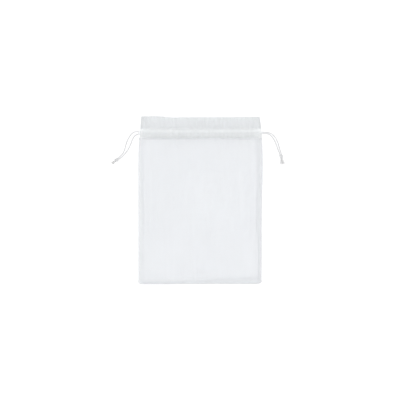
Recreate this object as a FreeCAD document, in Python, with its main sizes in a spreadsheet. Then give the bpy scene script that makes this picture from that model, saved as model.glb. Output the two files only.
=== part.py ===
import FreeCAD, Part
import math
import os
import Sketcher
from FreeCAD import Placement, Rotation, Vector

# Mesh produce bag with two drawcords, lying flat on its back.
# Frame: +X to the right, +Y towards the mouth, +Z up out of the front panel.
# The origin is the middle of the footprint, on the surface that the bag lies on.
# Millimetres throughout.

doc = FreeCAD.newDocument("produce_bag")

# ---------------------------------------------------------------- dimensions
dims = doc.addObject("Spreadsheet::Sheet", "dims")
VALUES = {
    # cloth body
    "bag_width": 220.0,
    "bag_length": 300.0,
    "cloth": 0.35,
    "rim_run": 10.0,
    "rim_radius": 5.0,
    "crown_radius": 9.0,
    "back_rise": 3.35,
    "seam_band": 10.0,
    "front_rim_z": 3.7,
    "front_top_z": 8.8,
    "open_over": 0.5,
    # drawcord channel and ruffle
    "lower_stitch_y": 112.3,
    "upper_stitch_y": 128.8,
    "mouth_y": 150.0,
    "channel_width": 217.0,
    "inner_width": 208.0,
    "lap_width": 198.0,
    "lap": 4.0,
    "header_width": 214.0,
    "header_cloth": 0.7,
    "channel_top_z": 11.6,
    "arch_toe": 3.0,
    "arch_wall": 0.3,
    "back_arch_z": 3.5,
    # trims
    "hem_width": 2.5,
    "hem_length": 20.6,
    "thread": 0.6,
    "thread_rise": 0.2,
    "overlock_width": 0.7,
    "overlock_height": 0.65,
    "tack_length": 3.0,
    "tack_rise": 0.5,
    "tack_height": 1.05,
    # drawcords
    "cord_dia": 2.2,
    "cord_exit": 110.0,
    "turn_reach": 109.61,
    "front_cord_z": 9.85,
    "back_cord_z": 1.75,
    "left_front_y": 123.4,
    "left_back_y": 119.0,
    "right_front_y": 119.9,
    "right_back_y": 122.9,
    # knots and frayed ends
    "knot_long": 4.2,
    "knot_wide": 3.4,
    "knot_high": 2.7,
    "knot_z": 2.9,
    "left_knot_x": -150.2,
    "left_knot_y": 73.3,
    "left_knot_heading": 220.2,
    "right_knot_x": 144.4,
    "right_knot_y": 79.0,
    "right_knot_heading": 279.8,
    "tuft_start": 3.4,
    "tuft_root": 1.7,
    "left_tuft_tip": 2.6,
    "left_tuft_length": 7.6,
    "left_tuft_z": 2.9,
    "right_tuft_tip": 3.3,
    "right_tuft_length": 11.2,
    "right_tuft_z": 3.45,
}
for row, (alias, value) in enumerate(VALUES.items(), start=1):
    dims.set("A%d" % row, alias.replace("_", " "))
    dims.set("B%d" % row, repr(float(value)))
    dims.setAlias("B%d" % row, alias)
doc.recompute()


def cell(alias):
    return float(getattr(dims, alias))


def bind(obj, prop, expression):
    obj.setExpression(prop, expression)


nodes = []


def new_body(label):
    body = doc.addObject("PartDesign::Body", label)
    body.Label = label
    nodes.append(body)
    return body


def plane_of(body, role):
    for feature in body.Origin.OriginFeatures:
        if feature.Role == role:
            return feature
    raise RuntimeError("no " + role)


def new_sketch(body, role, name):
    sketch = body.newObject("Sketcher::SketchObject", name)
    sketch.AttachmentSupport = [(plane_of(body, role), "")]
    sketch.MapMode = "FlatFace"
    return sketch


def name_last(sketch, index, word, expression):
    sketch.renameConstraint(index, word)
    bind(sketch, "Constraints." + word, expression)


def rectangle(sketch, wide, tall):
    """Rectangle from the sketch's origin, sizes given as expressions."""
    a, b = 10.0, 5.0
    p = [Vector(0, 0, 0), Vector(a, 0, 0), Vector(a, b, 0), Vector(0, b, 0)]
    for k in range(4):
        sketch.addGeometry(Part.LineSegment(p[k], p[(k + 1) % 4]), False)
    for k in range(4):
        sketch.addConstraint(Sketcher.Constraint("Coincident", k, 2, (k + 1) % 4, 1))
    for k in (0, 2):
        sketch.addConstraint(Sketcher.Constraint("Horizontal", k))
    for k in (1, 3):
        sketch.addConstraint(Sketcher.Constraint("Vertical", k))
    sketch.addConstraint(Sketcher.Constraint("Coincident", 0, 1, -1, 1))
    i = sketch.addConstraint(Sketcher.Constraint("DistanceX", 0, 1, 0, 2, a))
    name_last(sketch, i, "wide", wide)
    i = sketch.addConstraint(Sketcher.Constraint("DistanceY", 1, 1, 1, 2, b))
    name_last(sketch, i, "tall", tall)


def pad(body, sketch, length, name):
    feature = body.newObject("PartDesign::Pad", name)
    feature.Profile = sketch
    feature.Length = 1.0
    bind(feature, "Length", length)
    return feature


def plate(label, wide, tall, thick, x, y, z):
    """Flat rectangular strip: sizes and lowest corner as expressions."""
    body = new_body(label)
    sketch = new_sketch(body, "XY_Plane", label + "_outline")
    rectangle(sketch, wide, tall)
    pad(body, sketch, thick, label + "_pad")
    bind(body, "Placement.Base.x", x)
    bind(body, "Placement.Base.y", y)
    bind(body, "Placement.Base.z", z)
    return body


def tongue(sketch, half, top, bottom, radius, half0, top0, bottom0, radius0):
    """Outline straight across the mouth, with two round corners at the foot.

    half, top, bottom and radius are expressions, and the numbers after them
    are the values that the sketch starts from.
    """
    w, t, b, r = half0, top0, -bottom0, radius0
    lines = [
        Part.LineSegment(Vector(-w, t, 0), Vector(w, t, 0)),
        Part.LineSegment(Vector(w, t, 0), Vector(w, b + r, 0)),
        Part.ArcOfCircle(
            Part.Circle(Vector(w - r, b + r, 0), Vector(0, 0, 1), r), 1.5 * math.pi, 2 * math.pi
        ),
        Part.LineSegment(Vector(w - r, b, 0), Vector(-w + r, b, 0)),
        Part.ArcOfCircle(
            Part.Circle(Vector(-w + r, b + r, 0), Vector(0, 0, 1), r), math.pi, 1.5 * math.pi
        ),
        Part.LineSegment(Vector(-w, b + r, 0), Vector(-w, t, 0)),
    ]
    for line in lines:
        sketch.addGeometry(line, False)
    add = sketch.addConstraint
    add(Sketcher.Constraint("Coincident", 0, 2, 1, 1))
    add(Sketcher.Constraint("Tangent", 1, 2, 2, 2))
    add(Sketcher.Constraint("Tangent", 2, 1, 3, 1))
    add(Sketcher.Constraint("Tangent", 3, 2, 4, 2))
    add(Sketcher.Constraint("Tangent", 4, 1, 5, 1))
    add(Sketcher.Constraint("Coincident", 5, 2, 0, 1))
    add(Sketcher.Constraint("Vertical", 1))
    add(Sketcher.Constraint("Horizontal", 3))
    add(Sketcher.Constraint("Vertical", 5))
    add(Sketcher.Constraint("Symmetric", 0, 1, 0, 2, -2))
    add(Sketcher.Constraint("Equal", 2, 4))
    i = add(Sketcher.Constraint("Radius", 2, r))
    name_last(sketch, i, "corner", radius)
    i = add(Sketcher.Constraint("DistanceX", 0, 1, 0, 2, 2 * w))
    name_last(sketch, i, "across", "2 * (" + half + ")")
    i = add(Sketcher.Constraint("DistanceY", -1, 1, 0, 2, t))
    name_last(sketch, i, "mouth", top)
    i = add(Sketcher.Constraint("DistanceY", 3, 1, -1, 1, -b))
    name_last(sketch, i, "foot", bottom)


def section(body, name, z, z0, *outline):
    sketch = new_sketch(body, "XY_Plane", name)
    tongue(sketch, *outline)
    sketch.AttachmentOffset = Placement(Vector(0, 0, z0), Rotation())
    bind(sketch, "AttachmentOffset.Base.z", z)
    return sketch


def loft(body, kind, name, first, last):
    feature = body.newObject("PartDesign::" + kind, name)
    feature.Profile = first
    feature.Sections = [last]
    feature.Ruled = True
    return feature


# ------------------------------------------------------------- cloth panels
# Each panel is one skin with a turned rim on three sides, open at the mouth.
half = cell("bag_width") / 2
foot = cell("bag_length") / 2
run = cell("rim_run")
t = cell("cloth")
stitch = cell("lower_stitch_y")

back_panel = new_body("back_panel")
rise = cell("back_rise")
lower = section(
    back_panel, "back_flat", "0", 0.0,
    "dims.bag_width / 2 - dims.rim_run", "dims.lower_stitch_y",
    "dims.bag_length / 2 - dims.rim_run", "dims.crown_radius",
    half - run, stitch, foot - run, cell("crown_radius"),
)
upper = section(
    back_panel, "back_rim", "dims.back_rise", rise,
    "dims.bag_width / 2", "dims.lower_stitch_y",
    "dims.bag_length / 2", "dims.rim_radius",
    half, stitch, foot, cell("rim_radius"),
)
loft(back_panel, "AdditiveLoft", "back_outside", lower, upper)
doc.recompute()
# The inside follows the outside one cloth higher, and runs out past the mouth.
per_z = run / rise
inner_low = section(
    back_panel, "back_inside_flat", "dims.cloth", t,
    "dims.bag_width / 2 - dims.rim_run - 0.03 * dims.cloth", "dims.lower_stitch_y + 3",
    "dims.bag_length / 2 - dims.rim_run - 0.03 * dims.cloth", "dims.crown_radius",
    half - run - 0.03 * t, stitch + 3, foot - run - 0.03 * t, cell("crown_radius"),
)
over = cell("open_over")
inner_high = section(
    back_panel, "back_inside_rim", "dims.back_rise + dims.open_over", rise + over,
    "dims.bag_width / 2 + (dims.open_over - 1.03 * dims.cloth) * dims.rim_run / dims.back_rise",
    "dims.lower_stitch_y + 3",
    "dims.bag_length / 2 + (dims.open_over - 1.03 * dims.cloth) * dims.rim_run / dims.back_rise",
    "dims.rim_radius",
    half + (over - 1.03 * t) * per_z, stitch + 3, foot + (over - 1.03 * t) * per_z,
    cell("rim_radius"),
)
loft(back_panel, "SubtractiveLoft", "back_inside", inner_low, inner_high)
doc.recompute()

front_panel = new_body("front_panel")
rim_z = cell("front_rim_z")
top_z = cell("front_top_z")
per_z = run / (top_z - rim_z)
lower = section(
    front_panel, "front_rim", "dims.front_rim_z", rim_z,
    "dims.bag_width / 2", "dims.lower_stitch_y",
    "dims.bag_length / 2", "dims.rim_radius",
    half, stitch, foot, cell("rim_radius"),
)
upper = section(
    front_panel, "front_flat", "dims.front_top_z", top_z,
    "dims.bag_width / 2 - dims.rim_run", "dims.lower_stitch_y",
    "dims.bag_length / 2 - dims.rim_run", "dims.crown_radius",
    half - run, stitch, foot - run, cell("crown_radius"),
)
loft(front_panel, "AdditiveLoft", "front_outside", lower, upper)
doc.recompute()
slope = "dims.rim_run / (dims.front_top_z - dims.front_rim_z)"
inner_low = section(
    front_panel, "front_inside_rim", "dims.front_rim_z - dims.open_over", rim_z - over,
    "dims.bag_width / 2 + (dims.open_over - 1.12 * dims.cloth) * " + slope,
    "dims.lower_stitch_y + 3",
    "dims.bag_length / 2 + (dims.open_over - 1.12 * dims.cloth) * " + slope,
    "dims.rim_radius",
    half + (over - 1.12 * t) * per_z, stitch + 3, foot + (over - 1.12 * t) * per_z,
    cell("rim_radius"),
)
inner_high = section(
    front_panel, "front_inside_flat", "dims.front_top_z - dims.cloth", top_z - t,
    "dims.bag_width / 2 - dims.rim_run - 0.12 * dims.cloth * " + slope, "dims.lower_stitch_y + 3",
    "dims.bag_length / 2 - dims.rim_run - 0.12 * dims.cloth * " + slope, "dims.crown_radius",
    half - run - 0.12 * t * per_z, stitch + 3, foot - run - 0.12 * t * per_z,
    cell("crown_radius"),
)
loft(front_panel, "SubtractiveLoft", "front_inside", inner_low, inner_high)
doc.recompute()

# ------------------------------------------------------------ seam allowances
# The two raw edges are turned inside and lie flat between the two rims.
for side, x in (("left", "-dims.bag_width / 2"), ("right", "dims.bag_width / 2 - dims.seam_band")):
    plate(
        side + "_side_seam",
        "dims.seam_band",
        "dims.bag_length / 2 - dims.seam_band + dims.lower_stitch_y",
        "dims.front_rim_z - dims.back_rise",
        x,
        "dims.seam_band - dims.bag_length / 2",
        "dims.back_rise",
    )
bottom_seam = new_body("bottom_seam")
band = section(
    bottom_seam, "bottom_band", "dims.back_rise", rise,
    "dims.bag_width / 2", "dims.bag_length / 2 - dims.bag_length + dims.seam_band",
    "dims.bag_length / 2", "dims.rim_radius",
    half, -(foot - cell("seam_band")), foot, cell("rim_radius"),
)
pad(bottom_seam, band, "dims.front_rim_z - dims.back_rise", "bottom_band_pad")

# Overlock thread along the free edge of each allowance.
mid_band = "(dims.front_rim_z + dims.back_rise - dims.overlock_height) / 2"
for side, x in (
    ("left", "-dims.bag_width / 2 + dims.seam_band"),
    ("right", "dims.bag_width / 2 - dims.seam_band - dims.overlock_width"),
):
    plate(
        side + "_seam_overlock",
        "dims.overlock_width",
        "dims.bag_length / 2 - dims.seam_band - dims.overlock_width + dims.lower_stitch_y - 2",
        "dims.overlock_height",
        x,
        "dims.seam_band + dims.overlock_width - dims.bag_length / 2",
        mid_band,
    )
plate(
    "bottom_seam_overlock",
    "dims.bag_width - 2 * dims.seam_band - 2 * dims.overlock_width",
    "dims.overlock_width",
    "dims.overlock_height",
    "-dims.bag_width / 2 + dims.seam_band + dims.overlock_width",
    "dims.seam_band - dims.bag_length / 2",
    mid_band,
)

# A bartack closes the top of each side seam, where the cord slit begins.
for side, x in (
    ("left", "-dims.bag_width / 2 - dims.tack_rise"),
    ("right", "dims.bag_width / 2"),
):
    plate(
        side + "_bartack",
        "dims.tack_rise",
        "dims.tack_length",
        "dims.tack_height",
        x,
        "dims.lower_stitch_y - dims.tack_length",
        "(dims.front_rim_z + dims.back_rise - dims.tack_height) / 2",
    )

# ---------------------------------------------------- ruffle above the channel
for face, z in (("back", "0"), ("front", "dims.front_top_z - dims.header_cloth")):
    plate(
        face + "_header",
        "dims.header_width",
        "dims.mouth_y - dims.upper_stitch_y",
        "dims.header_cloth",
        "-dims.header_width / 2",
        "dims.upper_stitch_y",
        z,
    )
for face, z in (
    ("back", "dims.header_cloth"),
    ("front", "dims.front_top_z - dims.header_cloth - dims.cloth"),
):
    for side, x in (
        ("left", "-dims.header_width / 2"),
        ("right", "dims.header_width / 2 - dims.hem_width"),
    ):
        plate(
            face + "_" + side + "_slit_hem",
            "dims.hem_width",
            "dims.hem_length",
            "dims.cloth",
            x,
            "dims.upper_stitch_y + 0.3",
            z,
        )


# ------------------------------------------------------------ cord channels
def profile(sketch, points):
    """Closed outline in the Y-Z plane: points as (y expr, z expr, y, z)."""
    n = len(points)
    for k in range(n):
        a, b = points[k], points[(k + 1) % n]
        sketch.addGeometry(
            Part.LineSegment(Vector(a[2], a[3], 0), Vector(b[2], b[3], 0)), False
        )
    for k in range(n):
        sketch.addConstraint(Sketcher.Constraint("Coincident", k, 2, (k + 1) % n, 1))
    for k, (y, z, y0, z0) in enumerate(points):
        i = sketch.addConstraint(Sketcher.Constraint("DistanceX", -1, 1, k, 1, y0))
        name_last(sketch, i, "y%d" % k, y)
        i = sketch.addConstraint(Sketcher.Constraint("DistanceY", -1, 1, k, 1, z0))
        name_last(sketch, i, "z%d" % k, z)


def point(y, z):
    """A profile point, with its starting value worked out from the sheet."""
    names = {alias: cell(alias) for alias in VALUES}

    def worth(expression):
        total, sign = 0.0, 1.0
        for word in expression.replace("-", "+ -").split("+"):
            word = word.strip()
            if not word:
                continue
            sign = -1.0 if word.startswith("-") else 1.0
            word = word.lstrip("- ")
            total += sign * (names[word[5:]] if word.startswith("dims.") else float(word))
        return total

    return (y, z, worth(y), worth(z))


def arch(label, width, points):
    body = new_body(label)
    sketch = new_sketch(body, "YZ_Plane", label + "_profile")
    profile(sketch, points)
    feature = pad(body, sketch, width, label + "_pad")
    bind(body, "Placement.Base.x", "-" + width + " / 2")
    return body


# Front: the outer cloth arches over both strands, the inner one is flat.
lo, hi, toe, wall = "dims.lower_stitch_y", "dims.upper_stitch_y", "dims.arch_toe", "dims.arch_wall"
crown, flat = "dims.channel_top_z", "dims.front_top_z"
arch(
    "front_channel_outer",
    "dims.channel_width",
    [
        point(lo, flat + " - dims.cloth"),
        point(lo + " + " + toe + " + " + wall, crown + " - dims.cloth"),
        point(hi + " - " + toe + " - " + wall, crown + " - dims.cloth"),
        point(hi, flat + " - dims.cloth"),
        point(hi, flat),
        point(hi + " - " + toe, crown),
        point(lo + " + " + toe, crown),
        point(lo, flat),
    ],
)
front_inner = new_body("front_channel_inner")
sketch = new_sketch(front_inner, "XY_Plane", "front_inner_outline")
rectangle(sketch, "dims.inner_width", "dims.upper_stitch_y - dims.lower_stitch_y")
pad(front_inner, sketch, "dims.cloth", "front_inner_pad")
doc.recompute()
sketch = new_sketch(front_inner, "XY_Plane", "front_lap_outline")
rectangle(sketch, "dims.lap_width", "dims.lap")
sketch.AttachmentOffset = Placement(Vector(5, -4, 0), Rotation())
bind(sketch, "AttachmentOffset.Base.x", "(dims.inner_width - dims.lap_width) / 2")
bind(sketch, "AttachmentOffset.Base.y", "-dims.lap")
pad(front_inner, sketch, "dims.cloth", "front_lap_pad")
bind(front_inner, "Placement.Base.x", "-dims.inner_width / 2")
bind(front_inner, "Placement.Base.y", "dims.lower_stitch_y")
bind(front_inner, "Placement.Base.z", "dims.front_top_z - 2 * dims.cloth")

# Back: the outer cloth lies flat, the inner one arches over both strands.
plate(
    "back_channel_outer",
    "dims.channel_width",
    "dims.upper_stitch_y - dims.lower_stitch_y",
    "dims.cloth",
    "-dims.channel_width / 2",
    "dims.lower_stitch_y",
    "0",
)
crown = "dims.back_arch_z"
arch(
    "back_channel_inner",
    "dims.lap_width",
    [
        point(lo + " - dims.lap", "dims.cloth"),
        point(lo, "dims.cloth"),
        point(lo + " + " + toe + " + " + wall, crown + " - dims.cloth"),
        point(hi + " - " + toe + " - " + wall, crown + " - dims.cloth"),
        point(hi, "dims.cloth"),
        point(hi, "dims.header_cloth"),
        point(hi + " - " + toe, crown),
        point(lo + " + " + toe, crown),
        point(lo, "dims.header_cloth"),
        point(lo + " - dims.lap", "dims.header_cloth"),
    ],
)

# Rows of stitching that hold the channels shut, above and below the cords.
for label, y, z in (
    ("front_upper_stitching", "dims.upper_stitch_y + 0.4", "dims.front_top_z"),
    ("front_lower_stitching", "dims.lower_stitch_y - 2.4", "dims.front_top_z"),
    ("back_upper_stitching", "dims.upper_stitch_y + 0.4", "dims.header_cloth"),
    ("back_lower_stitching", "dims.lower_stitch_y - 2.4", "dims.header_cloth"),
):
    plate(label, "dims.lap_width", "dims.thread", "dims.thread_rise", "-dims.lap_width / 2", y, z)


# ---------------------------------------------------------------- drawcords
def route_wire(points, label):
    """Straight runs joined by tangent arcs, each as large as its runs allow."""
    pts = [Vector(*p) for p in points]
    n = len(pts)
    edges, start, radii = [], pts[0], []
    for i in range(1, n - 1):
        u = (pts[i - 1] - pts[i]).normalize()
        v = (pts[i + 1] - pts[i]).normalize()
        turn = math.pi - u.getAngle(v)
        short = min(pts[i].distanceToPoint(pts[i - 1]), pts[i].distanceToPoint(pts[i + 1]))
        cut = 0.45 * short
        radius = cut / math.tan(turn / 2)
        radii.append(radius)
        a = pts[i] + u * cut
        b = pts[i] + v * cut
        middle = (u + v).normalize()
        mid = pts[i] + middle * (radius / math.cos(turn / 2) - radius)
        edges.append(Part.LineSegment(start, a).toShape())
        edges.append(Part.Arc(a, mid, b).toShape())
        start = b
    edges.append(Part.LineSegment(start, pts[-1]).toShape())
    wire = Part.Wire(edges)
    print(label, "length %.2f" % wire.Length, "radii", " ".join("%.1f" % r for r in radii))
    return wire


def tube(label, points):
    """Round cord along a route."""
    wire = route_wire(points, label)
    radius = cell("cord_dia") / 2
    ahead = Vector(*points[1]) - Vector(*points[0])
    ring = Part.Wire([Part.Circle(Vector(*points[0]), ahead, radius).toShape()])
    shape = wire.makePipeShell([ring], True, False, 2)
    want = math.pi * radius ** 2 * wire.Length
    print(label, "volume %.3f against %.3f, lowest %.3f" % (shape.Volume, want, shape.BoundBox.ZMin))
    if abs(shape.Volume - want) > 0.01 * want:
        raise RuntimeError(label + ": tube volume is off")
    feature = doc.addObject("Part::Feature", label)
    feature.Label = label
    feature.Shape = shape
    feature.Placement = Placement(Vector(0, 0, 0), Rotation())
    nodes.append(feature)
    return feature


def held_loop(label, mouth_side, front_y, back_y):
    """Both strands in the channels, and the turn round the far corner.

    mouth_side is -1 where the cord leaves at the left, and +1 at the right.
    """
    far = -mouth_side
    high = "dims.front_cord_z"
    low = "dims.back_cord_z"
    gap = "sqrt((%s - %s)^2 + (%s - %s)^2)" % (front_y, back_y, high, low)
    straight = "dims.cord_exit + dims.turn_reach - %s / 2" % gap
    pieces = []
    for name, y, z in (("front", front_y, high), ("back", back_y, low)):
        cylinder = doc.addObject("Part::Cylinder", label + "_" + name + "_run")
        bind(cylinder, "Radius", "dims.cord_dia / 2")
        bind(cylinder, "Height", straight)
        cylinder.Placement = Placement(
            Vector(0, 0, 0), Rotation(Vector(0, 0, 1), Vector(far, 0, 0))
        )
        bind(cylinder, "Placement.Base.x", "%d * dims.cord_exit" % mouth_side)
        bind(cylinder, "Placement.Base.y", y)
        bind(cylinder, "Placement.Base.z", z)
        pieces.append(cylinder)
    turn = doc.addObject("Part::Torus", label + "_turn")
    bind(turn, "Radius1", gap + " / 2")
    bind(turn, "Radius2", "dims.cord_dia / 2")
    turn.Angle1 = -180
    turn.Angle2 = 180
    turn.Angle3 = 180
    # The ring's start is on the front strand and its half turn bulges outwards.
    dy = float(VALUES[front_y[5:]] - VALUES[back_y[5:]])
    dz = cell("front_cord_z") - cell("back_cord_z")
    first = Vector(0, dy, dz).normalize()
    bulge = Vector(far, 0, 0)
    normal = first.cross(bulge)
    turn.Placement = Placement(Vector(0, 0, 0), Rotation(first, bulge, normal, "XYZ"))
    bind(turn, "Placement.Base.x", "%d * (dims.turn_reach - %s / 2)" % (far, gap))
    bind(turn, "Placement.Base.y", "(%s + %s) / 2" % (front_y, back_y))
    bind(turn, "Placement.Base.z", "(%s + %s) / 2" % (high, low))
    pieces.append(turn)
    fuse = doc.addObject("Part::MultiFuse", label)
    fuse.Label = label
    fuse.Shapes = pieces
    fuse.Refine = False
    nodes.append(fuse)
    return fuse


held_loop("left_cord_loop", -1, "dims.left_front_y", "dims.left_back_y")
held_loop("right_cord_loop", 1, "dims.right_front_y", "dims.right_back_y")

high, low, out = cell("front_cord_z"), cell("back_cord_z"), cell("cord_exit")
# Free tails: straight out of the channel, down to the surface, along it, into the knot.
tube("left_cord_front_tail", [
    (-out, cell("left_front_y"), high),
    (-out - 7.5, cell("left_front_y"), high),
    (-124.5, 118.5, 6.0),
    (-130.5, 109.5, 2.2),
    (-134.0, 99.5, 1.15),
    (-136.3, 89.5, 1.15),
    (-141.5, 81.5, 1.4),
    (-147.9, 75.9, 2.8),
])
tube("left_cord_back_tail", [
    (-out, cell("left_back_y"), low),
    (-out - 5.5, cell("left_back_y"), low),
    (-121.0, 112.5, 1.4),
    (-124.6, 103.0, 1.15),
    (-128.6, 93.0, 1.15),
    (-135.2, 84.3, 1.15),
    (-141.5, 77.2, 1.3),
    (-147.6, 73.4, 2.6),
])
tube("right_cord_back_tail", [
    (out, cell("right_back_y"), low),
    (out + 7.0, cell("right_back_y"), low),
    (126.5, 121.0, 1.3),
    (133.8, 114.5, 1.15),
    (138.3, 105.3, 1.15),
    (141.2, 95.5, 1.15),
    (143.6, 87.5, 1.5),
    (145.6, 82.2, 2.7),
])
tube("right_cord_front_tail", [
    (out, cell("right_front_y"), high),
    (out + 6.5, cell("right_front_y"), high),
    (123.0, 118.8, 6.4),
    (129.0, 113.4, 3.0),
    (133.8, 105.8, 1.3),
    (137.2, 96.8, 1.15),
    (139.8, 88.6, 1.4),
    (143.0, 81.8, 2.6),
])

# Overhand knots, and the two cut ends that fray out beyond each of them.
for side in ("left", "right"):
    knot = doc.addObject("Part::Ellipsoid", side + "_knot")
    knot.Label = side + "_knot"
    bind(knot, "Radius1", "dims.knot_high")
    bind(knot, "Radius2", "dims.knot_long")
    bind(knot, "Radius3", "dims.knot_wide")
    heading = cell(side + "_knot_heading")
    knot.Placement = Placement(Vector(0, 0, 0), Rotation(Vector(0, 0, 1), heading))
    bind(knot, "Placement.Base.x", "dims.%s_knot_x" % side)
    bind(knot, "Placement.Base.y", "dims.%s_knot_y" % side)
    bind(knot, "Placement.Base.z", "dims.knot_z")
    nodes.append(knot)
    tuft = doc.addObject("Part::Cone", side + "_frayed_ends")
    tuft.Label = side + "_frayed_ends"
    bind(tuft, "Radius1", "dims.tuft_root")
    bind(tuft, "Radius2", "dims.%s_tuft_tip" % side)
    bind(tuft, "Height", "dims.%s_tuft_length" % side)
    aim = Vector(math.cos(math.radians(heading)), math.sin(math.radians(heading)), 0)
    tuft.Placement = Placement(Vector(0, 0, 0), Rotation(Vector(0, 0, 1), aim))
    bind(tuft, "Placement.Base.x",
         "dims.%s_knot_x + dims.tuft_start * cos(dims.%s_knot_heading * 1 deg)" % (side, side))
    bind(tuft, "Placement.Base.y",
         "dims.%s_knot_y + dims.tuft_start * sin(dims.%s_knot_heading * 1 deg)" % (side, side))
    bind(tuft, "Placement.Base.z", "dims.%s_tuft_z" % side)
    nodes.append(tuft)

# ------------------------------------------------------------------- export
doc.recompute()
for obj in doc.Objects:
    if "Invalid" in obj.State or "Error" in obj.State:
        raise RuntimeError("%s failed: %s %s" % (obj.Name, obj.State, obj.getStatusString()))
for obj in nodes:
    shape = obj.Shape
    if shape.isNull() or not shape.isValid() or not shape.Solids:
        raise RuntimeError(obj.Label + " has no good shape")
os.makedirs("parts", exist_ok=True)
for name in os.listdir("parts"):
    if name.endswith(".step"):
        os.remove(os.path.join("parts", name))
for obj in nodes:
    shape = obj.Shape
    box = shape.BoundBox
    print("%-24s solids %d vol %9.2f  x %8.2f %8.2f  y %8.2f %8.2f  z %6.2f %6.2f" % (
        obj.Label, len(shape.Solids), shape.Volume, box.XMin, box.XMax, box.YMin, box.YMax, box.ZMin, box.ZMax))
    shape.exportStep("parts/" + obj.Label + ".step")
print(len(nodes), "nodes")
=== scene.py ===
import math

import bpy
import numpy as np
from mathutils import Matrix, Vector


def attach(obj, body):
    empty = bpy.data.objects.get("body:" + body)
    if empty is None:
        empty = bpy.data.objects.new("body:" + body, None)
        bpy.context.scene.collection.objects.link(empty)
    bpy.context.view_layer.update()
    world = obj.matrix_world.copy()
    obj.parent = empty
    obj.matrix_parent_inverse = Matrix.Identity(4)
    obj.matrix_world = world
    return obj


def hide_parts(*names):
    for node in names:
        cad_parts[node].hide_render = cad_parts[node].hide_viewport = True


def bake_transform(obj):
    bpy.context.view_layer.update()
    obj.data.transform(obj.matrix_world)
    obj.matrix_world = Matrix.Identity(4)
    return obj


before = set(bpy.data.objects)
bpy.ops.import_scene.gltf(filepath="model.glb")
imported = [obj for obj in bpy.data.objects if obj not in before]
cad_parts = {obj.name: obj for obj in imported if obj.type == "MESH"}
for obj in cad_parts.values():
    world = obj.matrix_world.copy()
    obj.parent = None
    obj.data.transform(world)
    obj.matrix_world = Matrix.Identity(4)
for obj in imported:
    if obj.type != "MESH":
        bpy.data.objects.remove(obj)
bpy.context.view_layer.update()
MM = 0.001

# ------------------------------------------------------------------ helpers


def ease(t):
    t = np.clip(t, 0.0, 1.0)
    return t * t * (3 - 2 * t)


def rise(t, power=2.4):
    return 1 - (1 - np.clip(t, 0.0, 1.0)) ** power


def through(x, xs, ys):
    """Smooth steps through the given places."""
    x = np.asarray(x, float)
    out = np.full(x.shape, float(ys[0]))
    for k in range(len(xs) - 1):
        out = out + (ys[k + 1] - ys[k]) * ease((x - xs[k]) / (xs[k + 1] - xs[k]))
    return out


def field(x, y, sx, sy, seed, n=9):
    """Soft unevenness, about -1 to 1, of size sx by sy millimetres."""
    rng = np.random.RandomState(seed)
    total = np.zeros(np.broadcast(x, y).shape)
    for _ in range(n):
        a = rng.uniform(0, 2 * math.pi)
        k = rng.uniform(0.55, 1.5)
        total = total + np.cos(
            2 * math.pi * k * (np.cos(a) * x / sx + np.sin(a) * y / sy)
            + rng.uniform(0, 2 * math.pi)
        )
    return total / math.sqrt(n)


def settle(x):
    """x with no slope at the middle line, so that two halves meet smoothly."""
    return x * (1 - np.exp(-((x / 7.0) ** 2)))


# -------------------------------------------------------- outline of the bag
STITCH_LOW, STITCH_HIGH, MOUTH = 112.3, 128.8, 149.9


def right_edge(y):
    return through(
        y,
        [-130, -60, 10, 45, 78, 100, 111, 117, 124, 130, 133, 151],
        [109.7, 109.9, 110.8, 111.6, 111.7, 110.9, 109.8, 109.4, 109.2, 108.0, 108.0, 105.9],
    )


def left_edge(y):
    return through(
        y,
        [-130, 40, 78, 100, 111, 117, 124, 130, 133, 151],
        [111.5, 111.5, 111.4, 110.8, 109.6, 108.6, 108.3, 107.3, 107.2, 105.9],
    )


def foot_y(x):
    return through(x, [-70, -10], [-149.5, -148.8])


def top_y(x):
    return through(x, [-78, -45, 40, 95], [151.0, 149.3, 149.2, 150.2]) + 0.25 * field(
        settle(x), 0 * x, 45, 45, 5
    )


def edge(side, y):
    plain = right_edge(y) if side > 0 else left_edge(y)
    r = 5.0 if side > 0 else 4.2
    low = np.clip(foot_y(side * 100.0) + r - y, 0, r)
    return plain - (r - np.sqrt(np.maximum(r * r - low * low, 0.0)))


def near_edge(x, y):
    """Distance in from the sewn side edge."""
    return np.where(x >= 0, right_edge(y) - x, left_edge(y) + x)


def closed(y):
    """1 where front and back are sewn together, 0 above the cord slit."""
    return 1 - ease((y - 107.0) / 10.5)


# ----------------------------------------------------- how the cloth lies (mm)
def gathers(x, y):
    xs = settle(x)
    wave = np.cos(2 * math.pi * xs / 10.4 + 1.5 * np.sin(xs / 21.0) + 0.9 * np.sin(xs / 7.7))
    wave = wave * (0.62 + 0.38 * field(xs, 0 * xs, 30, 30, 12))
    return wave


def front_z(x, y):
    d = near_edge(x, y)
    p = rise(d / 24.0) * rise((y - foot_y(x)) / 22.0)
    z = 3.75 + 4.85 * (1 - closed(y) * (1 - p))
    soft = np.clip(p, 0, 1) * ease(d / 12.0)
    xs = settle(x)
    z = z + soft * (
        0.34 * field(xs, y, 75, 110, 21)
        + 0.13 * field(xs, y, 13, 130, 22)
        + 0.05 * field(xs, y, 7, 60, 23)
    ) * (0.35 + 0.65 * ease((112 - y) / 30.0))
    z = z + 0.30 * gathers(x, y) * np.exp(-np.clip(112.3 - y, 0, None) / 17.0) * ease(d / 10.0)
    z = z - 0.24 * np.exp(-(((y - 111.9) / 1.5) ** 2)) - 0.22 * np.exp(-(((y - 129.2) / 1.2) ** 2))
    return z


def back_z(x, y):
    d = near_edge(x, y)
    p = rise(d / 17.0, 2.0) * rise((y - foot_y(x)) / 16.0, 2.0)
    z = 3.30 - 3.08 * (1 - closed(y) * (1 - p))
    xs = settle(x)
    return z + 0.16 * (1 + 0.5 * field(xs, y, 40, 90, 31)).clip(0, 2) * p


def seam_z(x, y):
    return 3.52 + 0.10 * field(x, y, 40, 30, 41)


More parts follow.
